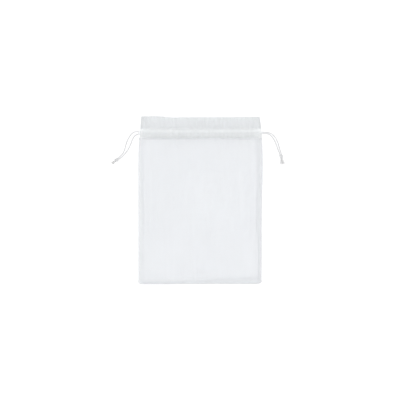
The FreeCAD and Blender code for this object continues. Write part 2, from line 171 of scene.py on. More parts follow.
# ------------------------------------------------------------ mesh builders
def link(name, mesh):
    obj = bpy.data.objects.new(name, mesh)
    bpy.context.scene.collection.objects.link(obj)
    return obj


def finish_mesh(name, verts, faces, uvs=None, sharp=None):
    mesh = bpy.data.meshes.new(name)
    mesh.from_pydata((np.asarray(verts, float) * MM).tolist(), [], faces)
    mesh.validate(clean_customdata=False)
    if uvs is not None:
        layer = mesh.uv_layers.new(name="cloth")
        index = np.empty(len(mesh.loops), int)
        mesh.loops.foreach_get("vertex_index", index)
        layer.data.foreach_set("uv", np.asarray(uvs, np.float32)[index].ravel())
    mesh.polygons.foreach_set("use_smooth", np.ones(len(mesh.polygons), bool))
    if sharp:
        mesh.set_sharp_from_angle(angle=math.radians(sharp))
    mesh.update()
    return link(name, mesh)


def skin(name, X, Y, Z, thick, meets=False, uv=None):
    """A sheet of cloth with its own thickness, from a grid of its middle surface.

    Rows run up the cloth, columns from the middle line outwards. meets says
    that the first column is the middle line, where the other half goes on.
    """
    mid = np.stack([X, Y, Z], -1)
    du = np.gradient(mid, axis=1)
    dv = np.gradient(mid, axis=0)
    n = np.cross(du, dv)
    n /= np.linalg.norm(n, axis=2, keepdims=True) + 1e-12
    n[n[:, :, 2] < 0] *= -1
    if meets:
        n[:, 0, 0] = 0
        n[:, 0] /= np.linalg.norm(n[:, 0], axis=1, keepdims=True)
    t = thick if np.ndim(thick) == 0 else np.asarray(thick)[:, :, None]
    top, low = mid + n * t / 2, mid - n * t / 2
    rows, cols = X.shape
    count = rows * cols
    verts = np.concatenate([top.reshape(-1, 3), low.reshape(-1, 3)])
    ids = np.arange(count).reshape(rows, cols)
    flip = X[0, -1] < X[0, 0]
    faces = []

    def quad(a, b, c, d):
        faces.append((d, c, b, a) if flip else (a, b, c, d))

    a, b, c, d = ids[:-1, :-1], ids[:-1, 1:], ids[1:, 1:], ids[1:, :-1]
    up = np.stack([a, b, c, d], -1).reshape(-1, 4)
    down = np.stack([d, c, b, a], -1).reshape(-1, 4) + count
    if flip:
        up, down = up[:, ::-1], down[:, ::-1]
    faces = [tuple(f) for f in up.tolist()] + [tuple(f) for f in down.tolist()]
    for line in (ids[0, :], ids[:, -1], ids[-1, ::-1], ids[::-1, 0]):
        for p, q in zip(line[:-1].tolist(), line[1:].tolist()):
            quad(p, p + count, q + count, q)
    if uv is None:
        uv = np.stack([X, Y], -1)
    flat = np.concatenate([uv.reshape(-1, 2), uv.reshape(-1, 2)]) * 0.01
    return finish_mesh(name, verts, faces, flat, 50)


def route(points):
    """Places along the smooth line that a route's points give."""
    curve = bpy.data.curves.new("route", "CURVE")
    curve.dimensions = "3D"
    spline = curve.splines.new("NURBS")
    spline.points.add(len(points) - 1)
    for p, at in zip(spline.points, points):
        p.co = (*at, 1.0)
    spline.order_u = 3
    spline.use_endpoint_u = True
    curve.resolution_u = 12
    spline.resolution_u = 12
    obj = bpy.data.objects.new("route", curve)
    bpy.context.scene.collection.objects.link(obj)
    bpy.context.view_layer.update()
    mesh = bpy.data.meshes.new_from_object(obj)
    found = np.array([v.co for v in mesh.vertices], float).reshape(-1, 3)
    bpy.data.objects.remove(obj)
    bpy.data.curves.remove(curve)
    bpy.data.meshes.remove(mesh)
    keep = np.concatenate([[True], np.linalg.norm(np.diff(found, axis=0), axis=1) > 1e-9])
    return found[keep]


def even(path, step):
    """The path's places at even steps along it."""
    gone = np.concatenate([[0], np.cumsum(np.linalg.norm(np.diff(path, axis=0), axis=1))])
    n = max(int(round(gone[-1] / step)), 2)
    want = np.linspace(0, gone[-1], n + 1)
    return np.stack([np.interp(want, gone, path[:, k]) for k in range(3)], 1), want


def carried(path, first=(0.0, 0.0, 1.0)):
    """Axes across the path, carried along it without twist."""
    ahead = np.gradient(path, axis=0)
    ahead /= np.linalg.norm(ahead, axis=1, keepdims=True)
    u = np.array(first, float)
    u -= ahead[0] * (u @ ahead[0])
    if np.linalg.norm(u) < 1e-6:
        u = np.array([1.0, 0.0, 0.0]) - ahead[0] * ahead[0][0]
    u /= np.linalg.norm(u)
    us = [u]
    for k in range(1, len(path)):
        u = us[-1] - ahead[k] * (us[-1] @ ahead[k])
        us.append(u / np.linalg.norm(u))
    us = np.array(us)
    return ahead, us, np.cross(ahead, us)


def tube_parts(path, radius, sides=6, first=(0, 0, 1), shape=None, round_ends=True):
    """Vertices, faces and places of a tube along a path in millimetres.

    radius is a number or one per point. shape gives the section's radius from
    (angle, distance along) as a share of radius.
    """
    gone = np.concatenate([[0], np.cumsum(np.linalg.norm(np.diff(path, axis=0), axis=1))])
    ahead, us, vs = carried(path, first)
    angle = np.linspace(0, 2 * math.pi, sides, endpoint=False)
    r = np.broadcast_to(radius, len(path)).astype(float)
    share = np.ones((len(path), sides))
    if shape is not None:
        share = shape(angle[None, :], gone[:, None])
    ring = (
        path[:, None, :]
        + (r[:, None] * share)[:, :, None]
        * (np.cos(angle)[None, :, None] * us[:, None, :] + np.sin(angle)[None, :, None] * vs[:, None, :])
    )
    rings = [ring]
    if round_ends:
        def cap(at, direction, source):
            centre = path[at]
            out = []
            for lift, keep in ((0.45, 0.84), (0.75, 0.5)):
                out.append(centre + (source - centre) * keep + direction * r[at] * lift)
            return out
        begin = cap(0, -ahead[0], ring[0])[::-1]
        end = cap(-1, ahead[-1], ring[-1])
        full = np.concatenate([np.array(begin), ring, np.array(end)])
    else:
        full = ring
    n = len(full)
    verts = full.reshape(-1, 3).tolist()
    faces = []
    for i in range(n - 1):
        for j in range(sides):
            k = (j + 1) % sides
            faces.append((i * sides + j, i * sides + k, (i + 1) * sides + k, (i + 1) * sides + j))
    a, b = len(verts), len(verts) + 1
    tip = 0.9 if round_ends else 0.0
    verts.append((path[0] - ahead[0] * r[0] * tip).tolist())
    verts.append((path[-1] + ahead[-1] * r[-1] * tip).tolist())
    for j in range(sides):
        k = (j + 1) % sides
        faces.append((a, k, j))
        faces.append((b, (n - 1) * sides + j, (n - 1) * sides + k))
    extra = 2 if round_ends else 0
    along = np.concatenate([[gone[0]] * extra, gone, [gone[-1]] * extra])
    uv = np.stack(
        [np.tile(angle / (2 * math.pi), n), np.repeat(along, sides) * 0.1], 1
    )
    uv = np.concatenate([uv, [[0, along[0] * 0.1], [0, along[-1] * 0.1]]])
    return np.array(verts), faces, uv


def joined(name, parts, sharp=None):
    verts, faces, uvs, base = [], [], [], 0
    for v, f, uv in parts:
        verts.append(v)
        uvs.append(uv)
        faces += [tuple(i + base for i in face) for face in f]
        base += len(v)
    return finish_mesh(name, np.concatenate(verts), faces, np.concatenate(uvs), sharp)


# ---------------------------------------------------------------- materials
def new_material(name):
    material = bpy.data.materials.new(name)
    material.use_nodes = True
    nt = material.node_tree
    nt.nodes.clear()
    out = nt.nodes.new("ShaderNodeOutputMaterial")
    shader = nt.nodes.new("ShaderNodeBsdfPrincipled")
    nt.links.new(shader.outputs[0], out.inputs[0])
    return material, nt, shader


class Graph:
    """Short words for wiring nodes."""

    def __init__(self, nt):
        self.nt = nt

    def put(self, kind, **values):
        node = self.nt.nodes.new(kind)
        for key, value in values.items():
            setattr(node, key, value)
        return node

    def set(self, socket, value):
        if hasattr(value, "links") or hasattr(value, "is_linked"):
            self.nt.links.new(value, socket)
        else:
            socket.default_value = value

    def math(self, op, a, b=None, c=None, clamp=False):
        node = self.put("ShaderNodeMath", operation=op, use_clamp=clamp)
        for k, value in enumerate((a, b, c)):
            if value is not None:
                self.set(node.inputs[k], value)
        return node.outputs[0]

    def noise(self, vector, scale, detail=2.0, rough=0.5):
        node = self.put("ShaderNodeTexNoise")
        self.set(node.inputs["Vector"], vector)
        node.inputs["Scale"].default_value = scale
        node.inputs["Detail"].default_value = detail
        node.inputs["Roughness"].default_value = rough
        return node.outputs[0]

    def ramp(self, factor, low, high, a, b):
        node = self.put("ShaderNodeMapRange", interpolation_type="SMOOTHSTEP")
        self.set(node.inputs["Value"], factor)
        for key, value in zip(("From Min", "From Max", "To Min", "To Max"), (low, high, a, b)):
            node.inputs[key].default_value = value
        return node.outputs["Result"]

    def mix(self, factor, a, b):
        node = self.put("ShaderNodeMix", data_type="RGBA")
        self.set(node.inputs[0], factor)
        self.set(node.inputs[6], (*a, 1.0) if isinstance(a, tuple) else a)
        self.set(node.inputs[7], (*b, 1.0) if isinstance(b, tuple) else b)
        return node.outputs[2]

    def bump(self, height, strength, distance):
        node = self.put("ShaderNodeBump")
        self.set(node.inputs["Height"], height)
        node.inputs["Strength"].default_value = strength
        node.inputs["Distance"].default_value = distance
        return node.outputs[0]


CLOTH = (0.890, 0.904, 0.926)
PITCH = 0.92  # millimetres between the mesh's threads


def mesh_cloth(name, cover, colour=CLOTH, ends=0.0):
    """Fine net: two sets of slanting threads with a knitted wale between them.

    cover is the share of light that one face of the cloth stops. ends is how much darker the cloth is made towards
    the bag's sides.
    """
    material, nt, shader = new_material(name)
    g = Graph(nt)
    uv = g.put("ShaderNodeUVMap", uv_map="cloth").outputs[0]
    # The threads wander a little, as knitted ones do.
    drift = g.put("ShaderNodeTexNoise", noise_dimensions="2D")
    g.set(drift.inputs["Vector"], uv)
    drift.inputs["Scale"].default_value = 9.0
    drift.inputs["Detail"].default_value = 1.0
    shifted = g.put("ShaderNodeVectorMath", operation="MULTIPLY_ADD")
    g.set(shifted.inputs[0], drift.outputs["Color"])
    shifted.inputs[1].default_value = (0.012, 0.012, 0.0)
    g.set(shifted.inputs[2], uv)
    parts = g.put("ShaderNodeSeparateXYZ")
    g.set(parts.inputs[0], shifted.outputs[0])
    u = g.math("MULTIPLY", parts.outputs[0], 100.0 / PITCH)
    v = g.math("MULTIPLY", parts.outputs[1], 100.0 / (PITCH * 1.25))
    slant_a = g.math("PINGPONG", g.math("ADD", u, v), 0.5)
    slant_b = g.math("PINGPONG", g.math("SUBTRACT", u, v), 0.5)
    wale = g.math("PINGPONG", g.math("MULTIPLY", u, 1.0), 0.5)
    thread = g.math(
        "MAXIMUM",
        g.math("MAXIMUM", g.ramp(slant_a, 0.10, 0.20, 1.0, 0.0), g.ramp(slant_b, 0.10, 0.20, 1.0, 0.0)),
        g.math("MULTIPLY", g.ramp(wale, 0.03, 0.10, 1.0, 0.0), 0.55),
    )
    cloudy = g.noise(uv, 1.7, 3.0)
    streak = g.put("ShaderNodeMapping")
    g.set(streak.inputs["Vector"], uv)
    streak.inputs["Scale"].default_value = (13.0, 0.55, 1.0)
    streaks = g.noise(streak.outputs[0], 1.0, 2.0)
    # Threads stop nearly all light, the filmy holes little, and the mean is cover.
    share = 0.50
    hole = cover * 0.52
    full = (cover - (1 - share) * hole) / share
    alpha = g.math("MULTIPLY_ADD", thread, min(full, 0.97) - hole, hole)
    uneven = g.math(
        "ADD",
        g.ramp(cloudy, 0.3, 0.7, -0.016, 0.016),
        g.ramp(streaks, 0.3, 0.7, -0.026, 0.026),
    )
    alpha = g.math("ADD", alpha, g.math("MULTIPLY", uneven, cover * 1.6), clamp=True)
    g.set(shader.inputs["Alpha"], alpha)
    pale = tuple(min(c * 1.03, 1.0) for c in colour)
    deep = tuple(c * 0.97 for c in colour)
    tone = g.mix(g.math("MULTIPLY_ADD", thread, 0.6, g.math("MULTIPLY", cloudy, 0.4)), deep, pale)
    if ends:
        across = g.put("ShaderNodeSeparateXYZ")
        g.set(across.inputs[0], uv)
        out = g.ramp(g.math("ABSOLUTE", across.outputs[0]), 0.78, 1.02, 0.0, 1.0)
        tone = g.mix(out, tone, tuple(c * (1 - ends) for c in colour))
    g.set(shader.inputs["Base Color"], tone)
    g.set(shader.inputs["Roughness"], g.ramp(thread, 0.0, 1.0, 0.82, 0.66))
    g.set(shader.inputs["Normal"], g.bump(thread, 0.35, 0.00012))
    shader.inputs["Sheen Weight"].default_value = 0.18
    shader.inputs["Sheen Roughness"].default_value = 0.45
    shader.inputs["Specular IOR Level"].default_value = 0.28
    return material


def cord_material(name, colour, shade=0.80):
    """Soft spun cord: fine fibres twisted round its length."""
    material, nt, shader = new_material(name)
    g = Graph(nt)
    uv = g.put("ShaderNodeUVMap", uv_map="cloth").outputs[0]
    parts = g.put("ShaderNodeSeparateXYZ")
    g.set(parts.inputs[0], uv)
    turn = g.math("MULTIPLY_ADD", parts.outputs[1], 26.0, g.math("MULTIPLY", parts.outputs[0], 9.0))
    ply = g.math("PINGPONG", turn, 0.5)
    stretch = g.put("ShaderNodeMapping")
    g.set(stretch.inputs["Vector"], uv)
    stretch.inputs["Scale"].default_value = (14.0, 5.0, 1.0)
    fibre = g.noise(stretch.outputs[0], 3.0, 3.0, 0.6)
    # Painted shade: the grooves between the plies, where the bump is low, are darkened to the colour times shade.
    deep = tuple(c * shade for c in colour)
    tone = g.math("MULTIPLY_ADD", ply, 1.1, g.math("MULTIPLY", fibre, 0.45), clamp=True)
    g.set(shader.inputs["Base Color"], g.mix(tone, deep, colour))
    g.set(shader.inputs["Roughness"], g.ramp(fibre, 0.2, 0.8, 0.72, 0.92))
    height = g.math("MULTIPLY_ADD", ply, 1.4, fibre)
    g.set(shader.inputs["Normal"], g.bump(height, 0.55, 0.00016))
    shader.inputs["Sheen Weight"].default_value = 0.25
    shader.inputs["Sheen Roughness"].default_value = 0.5
    shader.inputs["Specular IOR Level"].default_value = 0.25
    return material


def thread_material(name, colour):
    material, nt, shader = new_material(name)
    g = Graph(nt)
    uv = g.put("ShaderNodeUVMap", uv_map="cloth").outputs[0]
    parts = g.put("ShaderNodeSeparateXYZ")
    g.set(parts.inputs[0], uv)
    twist = g.math("PINGPONG", g.math("MULTIPLY_ADD", parts.outputs[1], 22.0, g.math("MULTIPLY", parts.outputs[0], 2.0)), 0.5)
    # Painted shade: the twist's grooves, where the bump is low, are darkened to 0.84 of the thread colour.
    g.set(shader.inputs["Base Color"], g.mix(g.math("MULTIPLY", twist, 2.0), tuple(c * 0.84 for c in colour), colour))
    g.set(shader.inputs["Roughness"], g.ramp(twist, 0.0, 0.5, 0.70, 0.5))
    g.set(shader.inputs["Normal"], g.bump(twist, 0.5, 0.00006))
    shader.inputs["Sheen Weight"].default_value = 0.15
    shader.inputs["Specular IOR Level"].default_value = 0.4
    return material


body_cloth = mesh_cloth("mesh_body", 0.300)
# Painted light: the channel and lining cloth are lighter copies of the body cloth, brightened to make up for the
# shade that the stacked layers and cords give the channel.
channel_cloth = mesh_cloth("mesh_channel", 0.520, (0.955, 0.974, 0.994))
lining_cloth = mesh_cloth("mesh_lining", 0.300, (0.975, 0.985, 0.995))
double_cloth = mesh_cloth("mesh_doubled", 0.500, (0.897, 0.913, 0.926), 0.016)
# Painted light: the seam allowances are lighter copies of the body cloth, brightened to make up for the shade between
# the stacked layers.
seam_cloth = mesh_cloth("mesh_seam", 0.430, (0.955, 0.958, 0.965))
light_seam_cloth = mesh_cloth("mesh_seam_single", 0.110, (0.955, 0.955, 0.950))
foot_cloth = mesh_cloth("mesh_foot_seam", 0.280, (0.950, 0.956, 0.965))
# Painted shade: the rolled edge at the foot is a darker copy of the cloth, for the thin shade along the bag's bottom
# edge.
rolled_cloth = mesh_cloth("mesh_rolled", 0.720, (0.800, 0.815, 0.825))
hem_cloth = mesh_cloth("mesh_hem", 0.520, (0.880, 0.895, 0.905))
cord_white = cord_material("cord_white", (0.905, 0.910, 0.920), 0.84)
# Painted light: the cord held in the channels is a lighter copy of the same white cord, brightened to make up for the
# shade of the cloth layers over it.
cord_painted_lighter = cord_material("cord_in_channel", (0.975, 0.980, 0.990), 0.97)
# Painted light: the frayed fibres are a near-white copy of the cord colour, brightened to make up for the fibres'
# shade on each other.
fray_white = cord_material("cord_frayed", (0.992, 0.993, 0.995), 0.99)
thread_white = thread_material("sewing_thread", (0.90, 0.91, 0.93))
# Painted light: the bartack thread is a lighter copy of the sewing thread, to make up for the shade in its dense bar.
tack_white = thread_material("bartack_thread", (0.94, 0.945, 0.95))

# ----------------------------------------------------------------- the stage
scene = bpy.context.scene
scene.view_settings.view_transform = "Standard"
scene.view_settings.look = "None"
scene.view_settings.exposure = 0.0
scene.view_settings.gamma = 1.0
# Light has to find its way through every layer of the see-through cloth.
scene.cycles.max_bounces = 16
scene.cycles.diffuse_bounces = 10
scene.cycles.transparent_max_bounces = 40

camera_data = bpy.data.cameras.new("camera")
camera_data.lens = 85
camera_data.sensor_width = 36
camera_data.clip_end = 50
camera = link("camera", camera_data)
camera.location = (-0.0009, 0.00116, 1.686 + 0.008)
camera.rotation_euler = (0, 0, 0)
scene.camera = camera

floor = finish_mesh(
    "floor", [(-9000, -9000, 0), (9000, -9000, 0), (9000, 9000, 0), (-9000, 9000, 0)], [(0, 1, 2, 3)]
)
floor.location.z = -0.0002
white, nt, shader = new_material("floor_white")
shader.inputs["Base Color"].default_value = (0.52, 0.52, 0.52, 1)
shader.inputs["Roughness"].default_value = 0.9
shader.inputs["Specular IOR Level"].default_value = 0.1
shader.inputs["Emission Color"].default_value = (1, 1, 1, 1)
shader.inputs["Emission Strength"].default_value = 0.66
floor.data.materials.append(white)

world = bpy.data.worlds.new("studio")
scene.world = world
world.use_nodes = True
nt = world.node_tree
nt.nodes.clear()
g = Graph(nt)
place = g.put("ShaderNodeTexCoord").outputs["Generated"]
parts = g.put("ShaderNodeSeparateXYZ")
g.set(parts.inputs[0], place)
level = g.ramp(parts.outputs[2], 0.0, 0.55, 1.13, 0.755)
background = g.put("ShaderNodeBackground")
background.inputs[0].default_value = (1.0, 1.0, 1.0, 1)
g.set(background.inputs[1], level)
g.nt.links.new(background.outputs[0], g.put("ShaderNodeOutputWorld").inputs[0])

key = bpy.data.lights.new("key", "AREA")
key.shape = "RECTANGLE"
key.size, key.size_y = 3.3, 1.5
key.energy = 31
lamp = link("key", key)
lamp.location = (-0.2, 3.1, 2.6)
lamp.rotation_euler = (Vector((0, 0, 0)) - lamp.location).to_track_quat("-Z", "Y").to_euler()

# ---------------------------------------------------------- placing of a piece
SPAN, FALL = 0.120, 0.255


def follow(obj, side, sewn):
    """Works out where the cord's pull on the cloth would start and end, though nothing uses it, and bakes the piece's
    placing into its mesh.

    sewn is True below the lower row of stitching, where the pull would die away towards the foot of the bag; it
    changes only the unused start and end.
    """
    if sewn:
        s = 1 / (1 / SPAN ** 2 + 1 / FALL ** 2)
        start = Vector((0, STITCH_LOW * MM, 0))
        end = start + Vector((side * s / SPAN, s / FALL, 0))
    else:
        start, end = Vector((0, 0, 0)), Vector((side * SPAN, 0, 0))
    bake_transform(obj)


def dress(obj, material, slot, *nodes):
    obj.data.materials.append(material)
    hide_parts(*nodes)


SIDES = ((-1, "left"), (1, "right"))

# ---------------------------------------------------------------- drawcords
# Routes of the free strands, in metres, from the channel's end to the knot.
TAILS = {
    "left_cord_front_tail": [
        (-0.110, 0.1234, 0.00985), (-0.1175, 0.1234, 0.00985), (-0.1245, 0.1185, 0.0060),
        (-0.1305, 0.1095, 0.0022), (-0.1340, 0.0995, 0.00115), (-0.1363, 0.0895, 0.00115),
        (-0.1415, 0.0815, 0.0014), (-0.1479, 0.0759, 0.0028),
    ],
    "left_cord_back_tail": [
        (-0.110, 0.1190, 0.00175), (-0.1155, 0.1190, 0.00175), (-0.1210, 0.1125, 0.0014),
        (-0.1246, 0.1030, 0.00115), (-0.1286, 0.0930, 0.00115), (-0.1352, 0.0843, 0.00115),
        (-0.1415, 0.0772, 0.0013), (-0.1476, 0.0734, 0.0026),
    ],
    "right_cord_back_tail": [
        (0.110, 0.1229, 0.00175), (0.117, 0.1229, 0.00175), (0.1265, 0.1210, 0.0013),
        (0.1338, 0.1145, 0.00115), (0.1383, 0.1053, 0.00115), (0.1412, 0.0955, 0.00115),
        (0.1436, 0.0875, 0.0015), (0.1456, 0.0822, 0.0027),
    ],
    "right_cord_front_tail": [
        (0.110, 0.1199, 0.00985), (0.1165, 0.1199, 0.00985), (0.1230, 0.1188, 0.0064),
        (0.1290, 0.1134, 0.0030), (0.1338, 0.1058, 0.0013), (0.1372, 0.0968, 0.00115),
        (0.1398, 0.0886, 0.0014), (0.1430, 0.0818, 0.0026),
    ],
}
KNOTS = {
    "left": ((-150.2, 73.3, 2.9), 220.2, 7.6),
    "right": ((144.4, 79.0, 2.9), 279.8, 11.2),
}


def twisted(angle, along):
    """Section of a three-ply cord, as a share of its radius."""
    turn = 1.5 * (angle - 2 * math.pi * along / 6.2)
    return 0.80 + 0.20 * np.abs(np.cos(turn)) ** 0.75


def rope(name, path_mm, radius=1.1, step=0.45):
    points, _ = even(path_mm, step)
    return joined(name, [tube_parts(points, radius, 18, shape=twisted)])


tail_pieces, tail_lines = {}, {}
for name, points in TAILS.items():
    line = route(points)
    tail_lines[name] = line
    tail_pieces[name] = rope(name + "_cord", line / MM)


def knot_lines(centre, heading, offset):
    """One strand's line through an overhand knot, in millimetres."""
    t = np.linspace(-1.96, 1.96, 72)
    x = 1.42 * (t ** 3 - 3 * t)
    y = 1.12 * (t ** 4 - 4 * t ** 2 + 2.1)
    z = 0.130 * (t ** 5 - 10 * t)
    local = np.stack([x, y, z], 1)
    ahead, us, vs = carried(local, (0, 0, 1))
    turn = np.linspace(0, 2.6, len(t))[:, None]
    local = local + offset * (np.cos(turn) * us + np.sin(turn) * vs)
    c, s = math.cos(math.radians(heading)), math.sin(math.radians(heading))
    out = np.stack([c * local[:, 0] - s * local[:, 1], s * local[:, 0] + c * local[:, 1], local[:, 2]], 1)
    return out + np.array(centre)


def knot_piece(name, centre, heading):
    parts = []
    for offset in (0.62, -0.62):
        line, _ = even(knot_lines(centre, heading, offset), 0.3)
        line[:, 2] = np.maximum(line[:, 2], 1.05)
        parts.append(tube_parts(line, 0.98, 16, shape=twisted))
    return joined(name, parts)


def frayed_piece(name, centre, heading, length, half_width, seed):
    """Two cut ends: a short plied stub each, then a brush of loose fibres."""
    rng = np.random.RandomState(seed)
    c, s = math.cos(math.radians(heading)), math.sin(math.radians(heading))
    ahead, across = np.array([c, s, 0.0]), np.array([-s, c, 0.0])
    up = np.array([0.0, 0.0, 1.0])
    start = np.array(centre) + ahead * 2.4
    parts = []
    stub = 1.6
    for sign in (-1, 1):
        root = start + across * sign * 0.95 + up * (-0.35 if sign > 0 else 0.25)
        bend = np.linspace(0, 1, 12)[:, None]
        line = root + ahead * bend * (stub + 0.8) - up * 0.4 * bend
        line[:, 2] = np.maximum(line[:, 2], 1.0)
        parts.append(tube_parts(line, 0.98 * (1 - 0.08 * bend[:, 0]), 16, shape=twisted))
    total = length - 0.4
    for k in range(110):
        share = rng.uniform(-1, 1)
        lift = rng.uniform(-1, 1) * math.sqrt(1 - 0.75 * share * share)
        begin = start + ahead * rng.uniform(1.2, stub + 0.4) + across * share * 1.55 + up * lift * 0.85
        reach = (total - 0.5) * rng.uniform(0.80, 1.02) * (1 - 0.06 * abs(share))
        side_to = (half_width - 1.55) * share + rng.normal(0, 0.12 * half_width)
        curl = rng.normal(0, 0.30)
        w = np.linspace(0, 1, 7)[:, None]
        strand = (
            begin
            + ahead * reach * w
            + across * (side_to * w + curl * np.sin(math.pi * w))
            + up * (lift * 1.0 * w - 0.3 * w + rng.normal(0, 0.2) * w ** 2)
        )
        strand[:, 2] = np.maximum(strand[:, 2], 0.22 + 0.4 * rng.uniform(0, 1))
        parts.append(tube_parts(strand, np.linspace(0.19, 0.13, 7), 4, round_ends=False))
    return joined(name, parts)


for side, word in SIDES:
    body = word + "_drawcord"
    centre, heading, length = KNOTS[word]
    knot = knot_piece(word + "_overhand_knot", centre, heading)
    dress(knot, cord_white, "cord", word + "_knot")
    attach(knot, body)
    fray = frayed_piece(
        word + "_frayed_tips", centre, heading, length, 2.4 if side < 0 else 4.3, 3 + side
    )
    dress(fray, fray_white, "cord", word + "_frayed_ends")
    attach(fray, body)
    for strand in ("front", "back"):
        name = "%s_cord_%s_tail" % (word, strand)
        piece = tail_pieces[name]
        dress(piece, cord_white, "cord", name)
        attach(piece, body)
        line = tail_lines[name]

# The stretch that the channels hold, round the far corner and back.
for side, word, front_y, back_y in (
    (-1, "left", 123.4, 119.0), (1, "right", 119.9, 122.9),
):
    far = -side
    held_y = 119.0 + (1.35 if side < 0 else -1.35)
    turn_y = 122.9 if side < 0 else held_y  # clear of the other cord's exit
    route_mm = [
        (side * 110.0, front_y, 9.85), (side * 107.0, front_y, 9.85), (side * 98.0, held_y, 9.5),
        (side * 70.0, held_y, 9.5), (side * 20.0, held_y, 9.5),
        (far * 40.0, held_y, 9.5), (far * 80.0, held_y, 9.5), (far * 94.0, held_y, 9.5),
        (far * 104.5, turn_y, 9.5), (far * 107.2, turn_y, 9.5),
        (far * 110.3, turn_y + (back_y - turn_y) * 0.16, 8.1),
        (far * 110.3, turn_y + (back_y - turn_y) * 0.84, 3.3),
        (far * 107.2, back_y, 1.78), (far * 100.0, back_y, 1.75),
        (far * 80.0, back_y, 1.75), (far * 40.0, back_y, 1.75), (side * 20.0, back_y, 1.75),
        (side * 70.0, back_y, 1.75), (side * 110.0, back_y, 1.75),
    ]
    line = route([tuple(c * MM for c in p) for p in route_mm])
    piece = rope(word + "_cord_in_channels", line / MM, step=0.7)
    # The held stretch wears the lighter copy of the cord colour, painted light.
    dress(piece, cord_painted_lighter, "cord", word + "_cord_loop")
    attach(piece, word + "_drawcord")

# ------------------------------------------------------------- cloth panels
COLS = np.linspace(0, 1, 97)
COLS = COLS * (1 - 0.06) + 0.06 * (1 - (1 - COLS) ** 3)  # closer at the side edge
ROWS = np.concatenate([np.linspace(0, 0.09, 22)[:-1], np.linspace(0.09, 0.90, 108)[:-1], np.linspace(0.90, 1, 26)])


def panel_grid(side, cols=COLS, rows=ROWS, low=None, high=STITCH_LOW):
    s, v = np.meshgrid(cols, rows)
    foot = foot_y(side * s * 110.0) if low is None else low
    y = foot + v * (high - foot)
    x = side * s * edge(side, y)
    return x, y


def cloth_piece(name, side, grid, z, thick, material, sewn, nodes):
    x, y = grid
    obj = skin(name, x, y, z, thick, True)
    dress(obj, material, "mesh_cloth", *nodes)
    follow(obj, side, sewn)
    return obj


panels = {}
for side, word in SIDES:
    x, y = panel_grid(side)
    panels["front", word] = cloth_piece(
        "front_panel_%s_half" % word, side, (x, y), front_z(x, y), 0.35, body_cloth, True,
        ["front_panel"],
    )
    panels["back", word] = cloth_piece(
        "back_panel_%s_half" % word, side, (x, y), back_z(x, y), 0.35, body_cloth, True,
        ["back_panel"],
    )

# Seam allowances, turned in between the panels, and their overlocked edges.


def allowance(side, y):
    if side > 0:
        return through(y, [-66, -50, 95, 111], [6.2, 10.4, 10.6, 9.0]) + 0.35 * field(y, 0 * y, 60, 60, 51)
    return through(y, [-150, -40, 40, 111], [8.2, 9.0, 8.8, 8.0]) + 0.35 * field(y, 0 * y, 60, 60, 52)


def zigzag(name, inner, low, high, z_of, width=1.7, pitch=2.3, along_y=True):
    """Overlock thread: loops over the raw edge, laid as one zigzag thread."""
    n = int((high - low) / pitch)
    t = np.linspace(low, high, n * 8 + 1)
    phase = (t - low) / pitch
    swing = np.abs((phase % 1.0) - 0.5) * 2
    swing = ease(swing)
    lift = 0.32 * np.cos(2 * math.pi * phase)
    if along_y:
        x = inner(t, swing * width)
        y = t
    else:
        x = t
        y = inner(t, swing * width)
    z = z_of(x, y) + lift
    line = np.stack([x, y, z], 1)
    edge_line = np.stack([inner(t, 0 * t), t, z_of(inner(t, 0 * t), t)], 1) if along_y else np.stack(
        [t, inner(t, 0 * t), z_of(t, inner(t, 0 * t))], 1
    )
    parts = [tube_parts(line, 0.16, 5, round_ends=False), tube_parts(edge_line[::4], 0.17, 5, round_ends=False)]
    return joined(name, parts)


for side, word in SIDES:
    rows = np.linspace(-146.5, 110.6, 170)
    cols = np.linspace(0, 1, 9)
    c, y = np.meshgrid(cols, rows)
    outer = edge(side, y) - 0.15
    x = side * (outer - c * (allowance(side, y) - 0.15))
    z = seam_z(x, y) + (0.0 if side > 0 else 0.05)
    strip = skin(word + "_seam_allowance", x, y, z, 0.6 if side > 0 else 0.35)
    dress(strip, seam_cloth if side > 0 else light_seam_cloth, "mesh_cloth", word + "_side_seam")
    follow(strip, side, True)
    lock = zigzag(
        word + "_overlock_thread",
        lambda t, w, side=side: side * (edge(side, t) - allowance(side, t) + w - 0.3),
        -146.0, 110.0, lambda x, y: seam_z(x, y),
    )
    dress(lock, thread_white, "thread", word + "_seam_overlock")
    follow(lock, side, True)
    panels["seam", word] = strip


def bottom_depth(x):
    return through(x, [-112, -25, 60, 108], [4.6, 4.4, 9.5, 14.5]) + 0.3 * field(x, 0 * x, 50, 50, 53)


xs = np.linspace(-108.6, 107.2, 150)
vs = np.linspace(0, 1, 10)
X, V = np.meshgrid(xs, vs)
corner = 0.9 + 3.2 * np.clip((np.abs(X) - 104.2) / 4.4, 0, 1) ** 2
Y = foot_y(X) + corner + V * np.maximum(bottom_depth(X) - corner, 1.2)
strip = skin("bottom_seam_allowance", X, Y, 3.86 + 0.22 * V + 0.08 * field(X, Y, 40, 30, 42), 0.45)
dress(strip, foot_cloth, "mesh_cloth", "bottom_seam")
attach(strip, "root")
# The rolled edge where the two panels turn in at the foot. Its darker cloth is painted shade along the bag's bottom
# edge.
t = np.linspace(-105.0, 103.6, 120)
roll = np.stack([t, foot_y(t) + 0.40, 3.55 + 0.06 * field(t, 0 * t, 30, 30, 43)], 1)
rolled = joined("bottom_rolled_edge", [tube_parts(roll, 0.50, 8)])
dress(rolled, rolled_cloth, "mesh_cloth", "bottom_seam")
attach(rolled, "root")
lock = zigzag(
    "bottom_overlock_thread",
    lambda t, w: foot_y(t) + bottom_depth(t) - w + 0.3,
    -100.0, 100.0, lambda x, y: 4.05 + 0 * x, along_y=False,
)
dress(lock, thread_white, "thread", "bottom_seam_overlock")
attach(lock, "root")

# ------------------------------------------------------- channels and ruffle
CH_ROWS = np.linspace(0, 1, 34)


